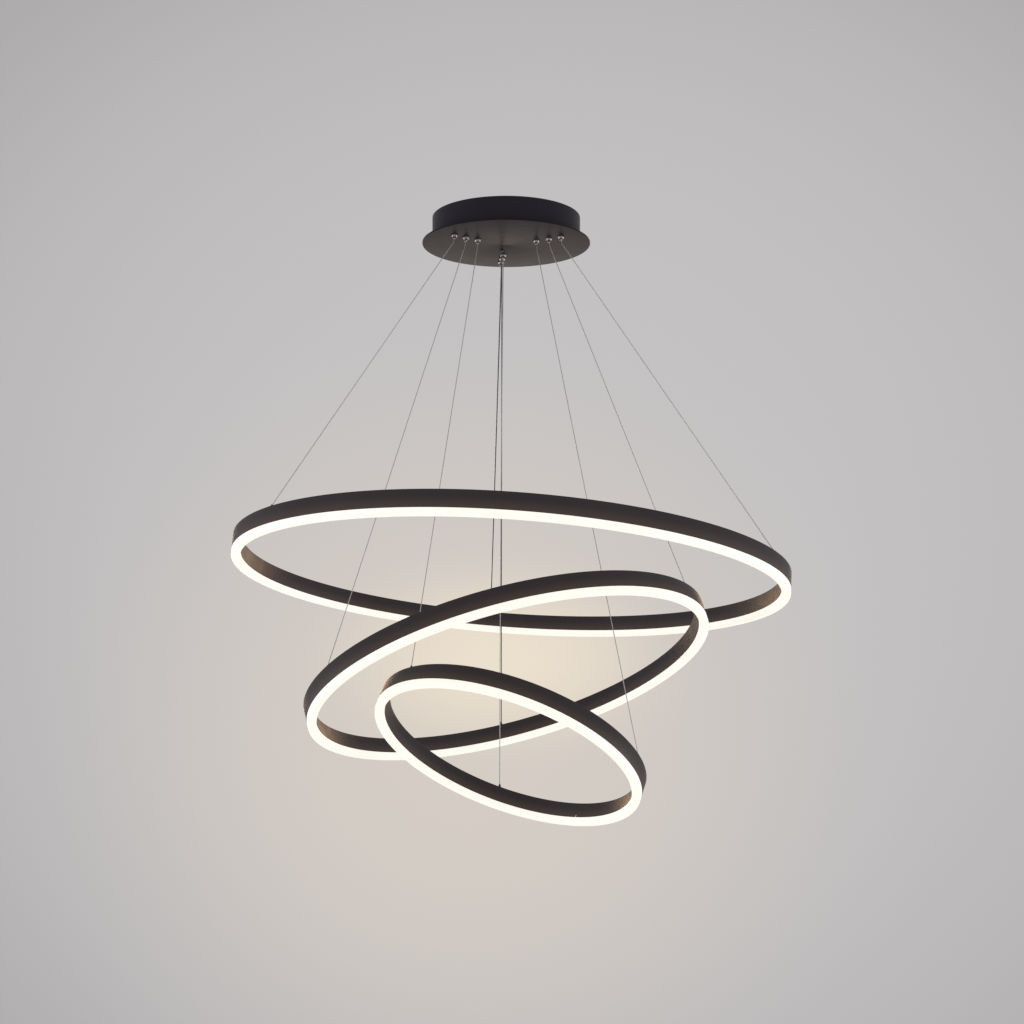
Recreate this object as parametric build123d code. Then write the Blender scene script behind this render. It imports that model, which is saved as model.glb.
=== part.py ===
"""Three-ring LED chandelier on a round ceiling canopy, in millimetres.

The origin is the middle of the ceiling plane under the canopy, +Z points up and -Y faces the viewer.
Each ring is made flat about its own Z axis, with z = 0 at the lower edge of its channel, and is then tilted into place.
"""

import math
import os

from build123d import *

# Canopy
DRUM_RADIUS = 110.0
DRUM_WALL = 1.5
CANOPY_DEPTH = 40.0  # ceiling to the underside of the plate
PLATE_RADIUS = 125.0
PLATE_THICKNESS = 2.0
PLATE_UNDERSIDE = -CANOPY_DEPTH
PLATE_TOP = PLATE_UNDERSIDE + PLATE_THICKNESS
SPOKES = {"far": 95.0, "left": 215.0, "right": 330.5}  # directions of the three rows of grippers
ROUND_SIDES = 12  # small round pieces are many-sided prisms

# Lugs that join the drum to the plate, midway between the spokes
LUG_ANGLES = [33.0, 155.0, 273.0]
LUG_RADIUS = 101.0
LUG_WIDTH = 14.0
LUG_THICKNESS = 2.0
CAP_NUT_ACROSS_FLATS = 8.0
CAP_NUT_HEIGHT = 6.0
M4_RADIUS = 2.0
M4_TAPPED_RADIUS = 2.05
M4_CLEAR_RADIUS = 2.3

# Ceiling bracket, a strip along X with both ends folded down
BRACKET_THICKNESS = 2.0
BRACKET_WIDTH = 26.0
BRACKET_REACH = 107.5  # axis to the outer face of a tab
TAB_DEPTH = 18.0
CEILING_HOLE_SPACING = 120.0
CEILING_HOLE_RADIUS = 2.75
SUPPLY_HOLE_RADIUS = 8.0
SUPPLY_HOLE_X = -15.0
SIDE_SCREW_DROP = 11.0  # ceiling to the side screws
SIDE_SCREW_LENGTH = 9.0
SIDE_SCREW_SINK = 0.1  # drum's surface to the flat of a countersunk head
SIDE_SCREW_CONE = 1.4
SCREW_HEAD_RADIUS = 3.5
SCREW_HEAD_HEIGHT = 1.8
EARTH_SCREW_X = -34.0

# Terminal block under the bracket
TERMINAL_SIZE = (28.0, 16.0, 13.0)
TERMINAL_X = 30.0
TERMINAL_WAYS = 3
TERMINAL_PITCH = 9.0
TERMINAL_WELL = (6.0, 5.0, 6.0)

# LED drivers, one between each pair of spokes, long side square to the radius
DRIVER_SIZE = (30.0, 86.0, 20.0)
DRIVER_INNER_FACE = 47.0  # axis to the near long side
DRIVER_CORNER = 3.0
PAD_SIZE = (22.0, 70.0, 1.5)

# Cable grippers: a barrel that its hexagonal body holds on the plate, and a sprung plunger
GRIPPER_RADII = {"small": 51.0, "middle": 72.0, "big": 92.0}  # axis to each ring's grippers
BARREL_RADIUS = 4.8
BARREL_BELOW_PLATE = 4.0
BARREL_HOLE_RADIUS = 4.9
GRIPPER_BODY_ACROSS_FLATS = 12.0
GRIPPER_BODY_HEIGHT = 11.0
PLUNGER_BORE_RADIUS = 2.15
PLUNGER_RADIUS = 2.1
PLUNGER_SIDES = 8
PLUNGER_HOLE_RADIUS = 0.8
PLUNGER_SHOWS = 3.0  # below the barrel
PLUNGER_LENGTH = 15.0

# Steel cables and power leads, each straight from its mouth to its fitting on the ring
CABLE_DIAMETER = 1.2
CABLE_TAIL_TOP = -21.0  # cut ends of the cables inside the canopy
CABLE_BEND = 6.0
CABLE_MOUTH_RUN = 2.5  # below the plunger, before the bend
LEAD_DIAMETER = 1.4
LEAD_BEND = 12.0
LEAD_MOUTH_RUN = 5.0  # below the bush, before the bend

# Narrow bush where the leads leave the plate, one behind the other
BUSH_CENTRE = (-6.4, 30.0)
BUSH_SHANK = (3.6, 8.0)  # across and deep
BUSH_FLANGE = (4.6, 9.0)
BUSH_FLANGE_THICKNESS = 2.5
LEAD_PITCH = 2.2
LEAD_ORDER = ["small", "middle", "big"]  # along +Y

# Ring channel, diffuser and what is inside
RING_WIDTH = 13.0
WALL_HEIGHT = 23.5
SIDE_WALL = 1.2
CROWN = 3.0
SEAM_GAP = 0.3
SEAM_ANGLE = 55.0
DIFFUSER_DROP = 9.0
BOARD_WIDTH = 5.0
BOARD_THICKNESS = 1.5
BOARD_BOW = 5.0  # how far the channel bends away over one straight board
BOARD_GAP = 2.0
SPLICE_SIZE = (2.0, 44.0, 8.0)  # across, along and high
SPLICE_LIFT = 8.0
SPLICE_PLAY = 0.15

# Fittings on top of each ring, which lean along their cable or lead
ANCHOR_RADIUS = 2.0
ANCHOR_LENGTH = 6.0
INLET_RADIUS = 1.4
INLET_LENGTH = 4.0
INLET_INSET = 4.6  # far anchor to inlet, towards the middle of the ring

# Rings: outer radius, middle, tilts about X and Y, the direction of each cable in the ring's plane,
# and the direction of the ring's driver in the canopy
RINGS = {
    "big": {
        "radius": 400.0,
        "centre": (6.4, -13.8, -540.3),
        "tilts": (-7.2, 4.1),
        "cables": {"far": 95.0, "left": 215.6, "right": 336.0},
        "driver": 155.0,
    },
    "middle": {
        "radius": 300.0,
        "centre": (5.4, 27.0, -681.4),
        "tilts": (-17.3, -15.2),
        "cables": {"far": 91.5, "left": 210.5, "right": 334.0},
        "driver": 273.0,
    },
    "small": {
        "radius": 200.0,
        "centre": (1.7, -9.6, -790.0),
        "tilts": (-23.9, 20.6),
        "cables": {"far": 96.0, "left": 219.5, "right": 345.0},
        "driver": 33.0,
    },
}


def polar(radius, degrees):
    """The point at that radius and direction from the Z axis."""
    return Vector(
        radius * math.cos(math.radians(degrees)), radius * math.sin(math.radians(degrees))
    )


def ring_plane(ring):
    """The plane of a ring: its middle, its normal from the two tilts, and X laid into the plane."""
    about_x, about_y = (math.radians(tilt) for tilt in ring["tilts"])
    normal = Vector(
        math.sin(about_y) * math.cos(about_x),
        -math.sin(about_x),
        math.cos(about_x) * math.cos(about_y),
    ).normalized()
    across = (Vector(1, 0, 0) - normal * normal.X).normalized()
    return Plane(origin=ring["centre"], x_dir=across, z_dir=normal)


def prism(radius, sides, bottom, top):
    """An upright prism on Z with its corners at that radius, for small round and hexagonal pieces."""
    return Pos(0, 0, bottom) * extrude(RegularPolygon(radius, sides), top - bottom)


def countersink(radius, depth):
    """A cone for a countersunk head: that radius at z = 0, down to the shank's radius at that depth."""
    flat = RegularPolygon(radius, ROUND_SIDES)
    point = Pos(0, 0, -depth) * RegularPolygon(M4_RADIUS, ROUND_SIDES)
    return loft([flat.face(), point.face()])


def chamfered_oblong(size):
    """An oblong with its corners cut off at a quarter of its width."""
    return chamfer(Rectangle(*size).vertices(), size[0] / 4)


def across_corners(across_flats):
    """The corner radius of a hexagon."""
    return across_flats / 2 / math.cos(math.radians(30))


def wire(points, radius, diameter):
    """A six-sided wire along straight runs joined by tangent arcs."""
    path = FilletPolyline(*points, radius=radius)
    start = Plane(origin=path @ 0, z_dir=path % 0)
    return sweep(start * RegularPolygon(diameter / 2, 6), path=path), path.length


def save(name, solids):
    """Writes one node, a solid or a group of solids."""
    group = solids if isinstance(solids, list) else [solids]
    shape = Compound(children=[solid for item in group for solid in item.solids()])
    export_step(shape, os.path.join("parts", name + ".step"))


# Canopy -------------------------------------------------------------------------------------------


def ceiling_bracket():
    """A folded strip with two ceiling screw holes, a supply hole and tapped holes for the screws."""
    reach, thick = BRACKET_REACH, BRACKET_THICKNESS
    outer = [(-reach, -TAB_DEPTH), (-reach, 0), (reach, 0), (reach, -TAB_DEPTH)]
    inner = [
        (reach - thick, -TAB_DEPTH),
        (reach - thick, -thick),
        (thick - reach, -thick),
        (thick - reach, -TAB_DEPTH),
    ]
    profile = make_face(Polyline(*outer, *inner, close=True))
    bracket = extrude(Plane.XZ * profile, BRACKET_WIDTH / 2, both=True)
    for side in (-1, 1):
        bracket -= Pos(side * CEILING_HOLE_SPACING / 2, 0, 0) * Cylinder(CEILING_HOLE_RADIUS, 9)
        bracket -= side_screw(side, reach) * prism(M4_TAPPED_RADIUS, 6, -2 * thick, thick)
    bracket -= Pos(SUPPLY_HOLE_X, 0, 0) * prism(SUPPLY_HOLE_RADIUS, ROUND_SIDES, -2 * thick, thick)
    bracket -= Pos(EARTH_SCREW_X, 0, 0) * prism(M4_TAPPED_RADIUS, 6, -2 * thick, thick)
    return bracket


def side_screw(side, distance):
    """A place on a side screw's axis, that far out along +X or -X, its Z pointing outwards."""
    return Pos(side * distance, 0, -SIDE_SCREW_DROP) * Rot(0, side * 90, 0)


def canopy_housing():
    """The drum, open above and below, with three lugs at its lower edge and two countersunk holes."""
    ring = Circle(DRUM_RADIUS) - Circle(DRUM_RADIUS - DRUM_WALL)
    drum = Pos(0, 0, PLATE_TOP) * extrude(ring, -PLATE_TOP)
    lug_inner = LUG_RADIUS - LUG_WIDTH / 2
    lug_length = DRUM_RADIUS - DRUM_WALL / 2 - lug_inner
    lug = Box(lug_length, LUG_WIDTH, LUG_THICKNESS, align=(Align.MIN, Align.CENTER, Align.MIN))
    for angle in LUG_ANGLES:
        drum += Rot(0, 0, angle) * Pos(lug_inner, 0, PLATE_TOP) * lug
    for side in (-1, 1):
        seat = side_screw(side, DRUM_RADIUS - SIDE_SCREW_SINK)
        drum -= seat * prism(M4_CLEAR_RADIUS, 6, -3 * DRUM_WALL, DRUM_WALL)
        drum -= seat * countersink(SCREW_HEAD_RADIUS, SIDE_SCREW_CONE)
        drum -= seat * prism(SCREW_HEAD_RADIUS, ROUND_SIDES, 0, DRUM_WALL)
    return drum


def canopy_plate():
    """The disc under the drum, with a hole for each gripper barrel and one for the bush."""
    outline = Circle(PLATE_RADIUS)
    for place in gripper_places():
        outline -= Pos(place) * RegularPolygon(BARREL_HOLE_RADIUS, ROUND_SIDES)
    outline -= Pos(*BUSH_CENTRE) * chamfered_oblong(BUSH_SHANK)
    return Pos(0, 0, PLATE_UNDERSIDE) * extrude(outline, PLATE_THICKNESS)


def plate_nuts():
    """The cap nuts on the plate's weld studs, on top of the drum's lugs."""
    seat = PLATE_TOP + LUG_THICKNESS
    nut = prism(across_corners(CAP_NUT_ACROSS_FLATS), 6, seat, seat + CAP_NUT_HEIGHT)
    return [Rot(0, 0, angle) * Pos(LUG_RADIUS, 0, 0) * nut for angle in LUG_ANGLES]


def housing_screws():
    """Two countersunk screws through the drum's wall into the bracket's tabs."""
    screw = prism(M4_RADIUS, 6, -SIDE_SCREW_LENGTH, -SIDE_SCREW_CONE)
    screw += countersink(SCREW_HEAD_RADIUS, SIDE_SCREW_CONE)
    return [side_screw(side, DRUM_RADIUS - SIDE_SCREW_SINK) * screw for side in (-1, 1)]


def earth_screw():
    """The earth screw, its head under the bracket."""
    seat = -BRACKET_THICKNESS
    screw = prism(SCREW_HEAD_RADIUS, 6, seat - SCREW_HEAD_HEIGHT, seat)
    screw += prism(M4_RADIUS, 6, seat, 0)
    return Pos(EARTH_SCREW_X, 0, 0) * screw


def terminal_block():
    """The supply terminals under the bracket, with a well at both ends of each way."""
    length, width, height = TERMINAL_SIZE
    block = Box(length, width, height, align=(Align.CENTER, Align.CENTER, Align.MAX))
    well = Box(*TERMINAL_WELL)
    for way in range(TERMINAL_WAYS):
        along = (way - (TERMINAL_WAYS - 1) / 2) * TERMINAL_PITCH
        for side in (-1, 1):
            block -= Pos(along, side * width / 2, -height / 2) * well
    return Pos(TERMINAL_X, 0, -BRACKET_THICKNESS) * block


def led_driver(ring):
    """A driver case with chamfered uprights."""
    case = Box(*DRIVER_SIZE, align=(Align.MIN, Align.CENTER, Align.MIN))
    case = chamfer(case.edges().filter_by(Axis.Z), DRIVER_CORNER)
    seat = PLATE_TOP + PAD_SIZE[2]
    return Rot(0, 0, ring["driver"]) * Pos(DRIVER_INNER_FACE, 0, seat) * case


def driver_pads():
    """Foam pads between the drivers and the plate."""
    pad = Box(*PAD_SIZE, align=(Align.CENTER, Align.CENTER, Align.MIN))
    place = Pos(DRIVER_INNER_FACE + DRIVER_SIZE[0] / 2, 0, PLATE_TOP)
    return [Rot(0, 0, ring["driver"]) * place * pad for ring in RINGS.values()]


def lead_bush():
    """The bush that holds the three leads where they leave the plate."""
    shank = extrude(chamfered_oblong(BUSH_SHANK), PLATE_THICKNESS)
    flange = extrude(chamfered_oblong(BUSH_FLANGE), -BUSH_FLANGE_THICKNESS)
    return Pos(*BUSH_CENTRE, PLATE_UNDERSIDE) * (flange + shank)


def bush_mouth():
    """The height of the bush's lower face."""
    return PLATE_UNDERSIDE - BUSH_FLANGE_THICKNESS


# Grippers, cables and leads -----------------------------------------------------------------------


def gripper_place(name, spoke):
    """Where the gripper of one ring on one spoke stands on the plate."""
    return polar(GRIPPER_RADII[name], SPOKES[spoke])


def gripper_places():
    """The places of all nine grippers."""
    return [gripper_place(name, spoke) for name in RINGS for spoke in SPOKES]


def barrel_mouth():
    """The height of a barrel's lower end."""
    return PLATE_UNDERSIDE - BARREL_BELOW_PLATE


def plunger_mouth():
    """The height of a plunger's lower end."""
    return barrel_mouth() - PLUNGER_SHOWS


def gripper_barrels():
    """Nine barrels through the plate, each with a hexagonal body on top of it."""
    body_top = PLATE_TOP + GRIPPER_BODY_HEIGHT
    barrel = prism(BARREL_RADIUS, ROUND_SIDES, barrel_mouth(), PLATE_TOP)
    barrel += prism(across_corners(GRIPPER_BODY_ACROSS_FLATS), 6, PLATE_TOP, body_top)
    barrel -= prism(PLUNGER_BORE_RADIUS, PLUNGER_SIDES, barrel_mouth(), body_top)
    return [Pos(place) * barrel for place in gripper_places()]


def gripper_plunger(name, spoke):
    """A release plunger, pushed up into its barrel to let the cable run."""
    outline = RegularPolygon(PLUNGER_RADIUS, PLUNGER_SIDES) - RegularPolygon(PLUNGER_HOLE_RADIUS, 6)
    place = gripper_place(name, spoke)
    return Pos(place.X, place.Y, plunger_mouth()) * extrude(outline, PLUNGER_LENGTH)


def mouth_corner(place, mouth, run):
    """Where a cable or lead turns towards its ring, straight below its mouth."""
    return Vector(place.X, place.Y, mouth - run)


def crown_point(ring, spoke, inwards=0.0):
    """A point on top of a ring at one of its anchors, or that far inwards from it."""
    flat = polar(ring["radius"] - RING_WIDTH / 2 - inwards, ring["cables"][spoke])
    return ring_plane(ring).from_local_coords(Vector(flat.X, flat.Y, WALL_HEIGHT))


def cable_corner(name, spoke):
    """Where a cable turns below its plunger."""
    return mouth_corner(gripper_place(name, spoke), plunger_mouth(), CABLE_MOUTH_RUN)


def cable_foot(name, spoke):
    """The middle of an anchor's foot on the crown, and the direction of its cable from there."""
    foot = crown_point(RINGS[name], spoke)
    return foot, (cable_corner(name, spoke) - foot).normalized()


def suspension_cable(name, spoke):
    """A steel cable from its cut end in the canopy, down through its gripper, to its anchor."""
    corner = cable_corner(name, spoke)
    foot, pull = cable_foot(name, spoke)
    start = Vector(corner.X, corner.Y, CABLE_TAIL_TOP)
    return wire([start, corner, foot + pull * ANCHOR_LENGTH], CABLE_BEND, CABLE_DIAMETER)


def lead_place(name):
    """Where a ring's lead leaves the bush."""
    step = LEAD_ORDER.index(name) - 1
    return Vector(BUSH_CENTRE[0], BUSH_CENTRE[1] + step * LEAD_PITCH)


def lead_foot(name):
    """The middle of an inlet's foot on the crown, and the direction of its lead from there."""
    foot = crown_point(RINGS[name], "far", INLET_INSET)
    corner = mouth_corner(lead_place(name), bush_mouth(), LEAD_MOUTH_RUN)
    return foot, (corner - foot).normalized()


def power_lead(name):
    """A lead from the bush, along the far cable, to the ring's inlet."""
    place = lead_place(name)
    foot, pull = lead_foot(name)
    points = [
        Vector(place.X, place.Y, bush_mouth()),
        mouth_corner(place, bush_mouth(), LEAD_MOUTH_RUN),
        foot + pull * INLET_LENGTH,
    ]
    return wire(points, LEAD_BEND, LEAD_DIAMETER)


# Rings --------------------------------------------------------------------------------------------


def ring_frame(ring):
    """The channel, open below, bent from one length whose ends meet at the seam."""
    outer = ring["radius"]
    inner = outer - RING_WIDTH
    under_crown = WALL_HEIGHT - CROWN
    outline = Polyline(
        (inner, 0),
        (inner, WALL_HEIGHT),
        (outer, WALL_HEIGHT),
        (outer, 0),
        (outer - SIDE_WALL, 0),
        (outer - SIDE_WALL, under_crown),
        (inner + SIDE_WALL, under_crown),
        (inner + SIDE_WALL, 0),
        close=True,
    )
    gap = math.degrees(SEAM_GAP / outer)
    channel = revolve(Plane.XZ * make_face(outline), Axis.Z, 360 - gap)
    return Rot(0, 0, SEAM_ANGLE + gap / 2) * channel


def diffuser(ring):
    """The opal strip that closes the channel and stands out below it."""
    outer = ring["radius"]
    strip = Circle(outer) - Circle(outer - RING_WIDTH)
    return Pos(0, 0, -DIFFUSER_DROP) * extrude(strip, DIFFUSER_DROP)


def led_boards(ring):
    """Straight LED boards end to end under the crown, as long as the bent channel lets them be."""
    middle = ring["radius"] - RING_WIDTH / 2
    length = math.sqrt(8 * middle * BOARD_BOW)
    count = int(2 * math.pi * middle / (length + BOARD_GAP))
    centred_below = (Align.CENTER, Align.CENTER, Align.MAX)
    board = Box(BOARD_WIDTH, length, BOARD_THICKNESS, align=centred_below)
    place = Pos(middle - BOARD_BOW / 2, 0, WALL_HEIGHT - CROWN)
    step = 360 / count
    return [Rot(0, 0, SEAM_ANGLE + (i + 0.5) * step) * place * board for i in range(count)]


def splice_bar(ring):
    """The straight bar against the outer wall that joins the channel's ends at the seam."""
    across, along, high = SPLICE_SIZE
    reach = ring["radius"] - SIDE_WALL - SPLICE_PLAY
    face = math.sqrt(reach**2 - (along / 2) ** 2)
    bar = Box(across, along, high, align=(Align.MAX, Align.CENTER, Align.MIN))
    return Rot(0, 0, SEAM_ANGLE) * Pos(face, 0, SPLICE_LIFT) * bar


def leaning_post(ring, foot, pull, radius, length):
    """A hexagonal post along a cable's pull, cut off by the crown that it stands on."""
    post = Plane(origin=foot, z_dir=pull) * prism(radius, 6, -length, length)
    crown = Plane(origin=foot, z_dir=ring_plane(ring).z_dir)
    return split(post, bisect_by=crown, keep=Keep.TOP)


def cable_anchors(name):
    """Three fittings on the crown, each leaning along its cable."""
    feet = [cable_foot(name, spoke) for spoke in SPOKES]
    return [leaning_post(RINGS[name], *foot, ANCHOR_RADIUS, ANCHOR_LENGTH) for foot in feet]


def lead_inlet(name):
    """The fitting beside the far anchor where the power lead enters the ring."""
    return leaning_post(RINGS[name], *lead_foot(name), INLET_RADIUS, INLET_LENGTH)


def tilted(ring, solids):
    """A ring's solids, moved from its own frame into place."""
    group = solids if isinstance(solids, list) else [solids]
    return [ring_plane(ring).location * solid for solid in group]


os.makedirs("parts", exist_ok=True)

save("ceiling_bracket", ceiling_bracket())
save("canopy_housing", canopy_housing())
save("canopy_plate", canopy_plate())
save("plate_nuts", plate_nuts())
save("housing_screws", housing_screws())
save("earth_screw", earth_screw())
save("terminal_block", terminal_block())
save("driver_pads", driver_pads())
save("lead_bush", lead_bush())
save("gripper_barrels", gripper_barrels())

for ring_name, sizes in RINGS.items():
    save("led_driver_" + ring_name, led_driver(sizes))
    save("ring_frame_" + ring_name, tilted(sizes, ring_frame(sizes)))
    save("diffuser_" + ring_name, tilted(sizes, diffuser(sizes)))
    save("led_boards_" + ring_name, tilted(sizes, led_boards(sizes)))
    save("splice_bar_" + ring_name, tilted(sizes, splice_bar(sizes)))
    save("cable_anchors_" + ring_name, cable_anchors(ring_name))
    save("lead_inlet_" + ring_name, lead_inlet(ring_name))
    for spoke_name in SPOKES:
        place_name = ring_name + "_" + spoke_name
        save("gripper_plunger_" + place_name, gripper_plunger(ring_name, spoke_name))
        cable, length = suspension_cable(ring_name, spoke_name)
        print("suspension cable", place_name, "length", round(length), "bend radius", CABLE_BEND)
        save("suspension_cable_" + place_name, cable)
    lead, length = power_lead(ring_name)
    print("power lead", ring_name, "length", round(length), "bend radius", LEAD_BEND)
    save("power_lead_" + ring_name, lead)
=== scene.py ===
"""Looks of a chandelier of three tilted, lit rings that hang on steel cables from a round canopy.

Every new piece is a surface worked out on a grid of two parameters. Sizes are in millimetres and are turned
into metres where a mesh is written. The places repeat the part's own driving dimensions.
"""

import math

import bpy
import numpy as np
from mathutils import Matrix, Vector


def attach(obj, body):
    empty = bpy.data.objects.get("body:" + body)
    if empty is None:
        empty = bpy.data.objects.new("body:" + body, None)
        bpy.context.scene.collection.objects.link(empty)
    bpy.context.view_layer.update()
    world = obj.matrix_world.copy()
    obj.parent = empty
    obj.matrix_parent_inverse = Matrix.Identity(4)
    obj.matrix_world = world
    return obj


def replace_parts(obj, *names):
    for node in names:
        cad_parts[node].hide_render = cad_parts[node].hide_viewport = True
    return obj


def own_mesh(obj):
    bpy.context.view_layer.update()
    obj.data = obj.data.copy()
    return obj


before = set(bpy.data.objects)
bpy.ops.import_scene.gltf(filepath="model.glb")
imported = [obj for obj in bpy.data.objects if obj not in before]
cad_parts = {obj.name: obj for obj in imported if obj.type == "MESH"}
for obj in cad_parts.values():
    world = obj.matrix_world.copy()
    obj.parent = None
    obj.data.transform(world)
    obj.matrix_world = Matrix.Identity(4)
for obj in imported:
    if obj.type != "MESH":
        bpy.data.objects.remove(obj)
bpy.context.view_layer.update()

MM = 0.001
TURN = 2 * math.pi

# Canopy
DRUM_RADIUS = 110.0
DRUM_WALL = 1.5
PLATE_RADIUS = 125.0
PLATE_TOP = -38.0
PLATE_UNDERSIDE = -40.0
SPOKES = {"far": 95.0, "left": 215.0, "right": 330.5}
LUG_ANGLES = [33.0, 155.0, 273.0]
LUG_RADIUS = 101.0
LUG_SIZE = (15.0, 14.0, 2.0)
NUT_ACROSS_FLATS = 8.0
SIDE_SCREW_DROP = 11.0
EARTH_SCREW_X = -34.0
BRACKET_THICKNESS = 2.0
DRIVER_INNER_FACE = 47.0
DRIVER_SIZE = (30.0, 86.0, 20.0)
PAD_SIZE = (22.0, 70.0, 1.5)

# Grippers
GRIPPER_RADII = {"small": 51.0, "middle": 72.0, "big": 92.0}
BARREL_RADIUS = 4.8
BODY_ACROSS_FLATS = 12.0
BARREL_MOUTH = -44.0
PLUNGER_MOUTH = -47.0
PLUNGER_TOP = -32.0

# Cables and leads
CABLE_DIAMETER = 1.2
CABLE_TAIL_TOP = -21.0
CABLE_CORNER = -49.5
CABLE_BEND = 8.0  # how far past its corner a line's bend reaches
CABLE_LAY = 9.0  # length over which a strand goes once round the cable
CABLE_STEP = 0.6  # between two sections of the mesh
LEAD_DIAMETER = 1.4
LEAD_BEND = 5.0
LEAD_STEP = 4.0
BUSH_CENTRE = (-6.4, 30.0)
BUSH_SHANK = (3.6, 8.0)
BUSH_FLANGE = (4.6, 9.0)
BUSH_MOUTH = -42.5
LEAD_CORNER = -47.5
LEAD_PITCH = 2.2
LEAD_ORDER = ["small", "middle", "big"]
ASIDE = {  # where along its run a line lies a little to one side, and by how much
    "cable small far": (0.6, -1.5),
    "lead middle": (0.14, -0.3),
}

# Rings
RING_WIDTH = 13.0
WALL_HEIGHT = 23.5
SIDE_WALL = 1.2
CROWN = 3.0
DIFFUSER_DROP = 9.0
SEAM_GAP = 0.3
NICK_WIDTH = 0.8  # a small nick in both walls at each side of the small ring's seam
NICK_HEIGHT = 4.0
TONGUE_HEIGHT = 4.2  # the part of a diffuser that clips in between the walls
SEAM_ANGLE = 55.0
SECTIONS_ROUND = 480  # of a ring's mesh
ANCHOR_LENGTH = 6.0
INLET_LENGTH = 4.0
INLET_INSET = 4.6
BOARD_THICKNESS = 1.5
BOARD_BOW = 5.0  # how far the channel bends away over one straight board
BOARD_GAP = 2.0
CHIP_SIZE = (2.8, 3.5, 0.7)
CHIP_PITCH = 11.0
RINGS = {
    "big": {
        "radius": 400.0,
        "centre": (6.4, -13.8, -540.3),
        "tilts": (-7.2, 4.1),
        "cables": {"far": 95.0, "left": 215.6, "right": 336.0},
        "driver": 155.0,
    },
    "middle": {
        "radius": 300.0,
        "centre": (5.4, 27.0, -681.4),
        "tilts": (-17.3, -15.2),
        "cables": {"far": 91.5, "left": 210.5, "right": 334.0},
        "driver": 273.0,
    },
    "small": {
        "radius": 200.0,
        "centre": (1.7, -9.6, -790.0),
        "tilts": (-23.9, 20.6),
        "cables": {"far": 96.0, "left": 219.5, "right": 345.0},
        "driver": 33.0,
    },
}


# Places -------------------------------------------------------------------------------------------


def unit(vector):
    """A vector over its own length."""
    return np.asarray(vector, float) / np.linalg.norm(vector)


def polar(radius, degrees, height=0.0):
    """The point at that radius and direction from the Z axis."""
    angle = math.radians(degrees)
    return np.array([radius * math.cos(angle), radius * math.sin(angle), height])


def axes_of(ring):
    """A ring's own X, Y and normal as rows: the normal from its two tilts, X laid into its plane."""
    about_x, about_y = np.radians(ring["tilts"])
    normal = unit(
        [
            math.sin(about_y) * math.cos(about_x),
            -math.sin(about_x),
            math.cos(about_x) * math.cos(about_y),
        ]
    )
    across = unit(np.array([1.0, 0, 0]) - normal * normal[0])
    return np.array([across, np.cross(normal, across), normal])


def on_ring(ring, points):
    """Points from a ring's own axes to the part's: middle of the ring plus each coordinate along its axis."""
    return np.asarray(points) @ axes_of(ring) + np.array(ring["centre"])


def along_axis(points, foot, axis):
    """Points drawn about Z, set with Z along an axis and their origin on a foot."""
    axis = unit(axis)
    side = unit(np.cross(axis, [0.0, 1.0, 0.0] if abs(axis[1]) < 0.9 else [1.0, 0.0, 0.0]))
    return np.asarray(points) @ np.array([side, np.cross(axis, side), axis]) + np.asarray(foot)


def about_z(points, degrees, place=(0, 0, 0)):
    """Points turned about Z and then moved."""
    c, s = math.cos(math.radians(degrees)), math.sin(math.radians(degrees))
    return np.asarray(points) @ np.array([[c, s, 0], [-s, c, 0], [0, 0, 1]]) + np.asarray(place)


def crown_point(ring, spoke, inwards=0.0):
    """A point on a ring's crown at an anchor, or that far inwards from it."""
    middle = ring["radius"] - RING_WIDTH / 2
    return on_ring(ring, polar(middle - inwards, ring["cables"][spoke], WALL_HEIGHT))


def gripper_place(name, spoke):
    """Where a gripper stands on the plate."""
    return polar(GRIPPER_RADII[name], SPOKES[spoke])


def lead_place(name):
    """Where a ring's lead leaves the bush."""
    behind = (LEAD_ORDER.index(name) - 1) * LEAD_PITCH
    return np.array([BUSH_CENTRE[0], BUSH_CENTRE[1] + behind, 0.0])


def cable_foot(name, spoke):
    """The foot of an anchor and the pull of its cable."""
    foot = crown_point(RINGS[name], spoke)
    return foot, unit(gripper_place(name, spoke) + [0, 0, CABLE_CORNER] - foot)


def lead_foot(name):
    """The foot of an inlet and the pull of its lead."""
    foot = crown_point(RINGS[name], "far", INLET_INSET)
    return foot, unit(lead_place(name) + [0, 0, LEAD_CORNER] - foot)


# Meshes -------------------------------------------------------------------------------------------


def grid_faces(rows, columns, close_rows, close_columns):
    """Four-sided faces between neighbouring rows and columns of a grid of points."""
    i = np.arange(rows if close_rows else rows - 1)[:, None]
    j = np.arange(columns if close_columns else columns - 1)[None, :]
    ii, jj = (i + 1) % rows, (j + 1) % columns
    corners = (i * columns + j, ii * columns + j, ii * columns + jj, i * columns + jj)
    return np.stack([np.broadcast_to(c, (i.size, j.size)) for c in corners], -1).reshape(-1, 4)


def enclosed_volume(points, faces):
    """Six times the volume inside the faces, from the sum of corner triple products."""
    a, b, c, d = (points[faces[:, k]] for k in range(4))
    return (np.cross(a, b) * c).sum() + (np.cross(a, c) * d).sum()


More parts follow.
